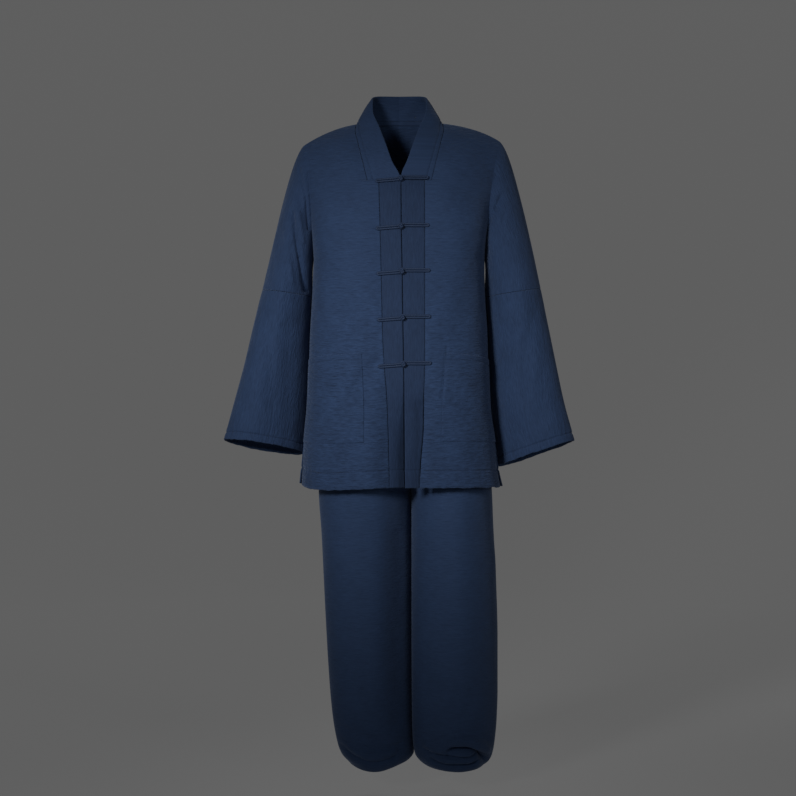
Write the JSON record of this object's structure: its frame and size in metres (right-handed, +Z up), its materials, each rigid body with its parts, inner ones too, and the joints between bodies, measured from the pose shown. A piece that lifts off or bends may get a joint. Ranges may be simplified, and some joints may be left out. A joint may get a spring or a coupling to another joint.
{
  "type": "tai chi uniform",
  "caption": "Worn-form jacket with a banded V neck, cord-knot fastenings and hip pockets, over loose trousers gathered at the ankles",
  "frame": {"origin": "middle of the neck opening at the height where the shoulders begin, where the wearer's shoulders carry the jacket", "axes": "+Z up the body to the neck, -Y the front, -X the wearer's right"},
  "size_m": [0.733, 0.2756, 1.4189],
  "materials": {
    "cloth": "matte",
    "cord": "satin"
  },
  "bodies": {
    "root": {"jacket_front_right": "cloth", "jacket_front_left": "cloth", "jacket_back": "cloth", "sleeve_right": "cloth", "sleeve_left": "cloth", "collar": "cloth", "placket_right": "cloth", "placket_left": "cloth", "pocket_right": "cloth", "pocket_left": "cloth", "trouser_front_right": "cloth", "trouser_front_left": "cloth", "trouser_back_right": "cloth", "trouser_back_left": "cloth", "waistband": "cloth", "ankle_cuff_right": "cloth", "ankle_cuff_left": "cloth", "frog_1_strap_right": "cord", "frog_1_strap_left": "cord", "frog_1_knot": "cord", "frog_2_strap_right": "cord", "frog_2_strap_left": "cord", "frog_2_knot": "cord", "frog_3_strap_right": "cord", "frog_3_strap_left": "cord", "frog_3_knot": "cord", "frog_4_strap_right": "cord", "frog_4_strap_left": "cord", "frog_4_knot": "cord", "frog_5_strap_right": "cord", "frog_5_strap_left": "cord", "frog_5_knot": "cord"}
  },
  "joints": []
}
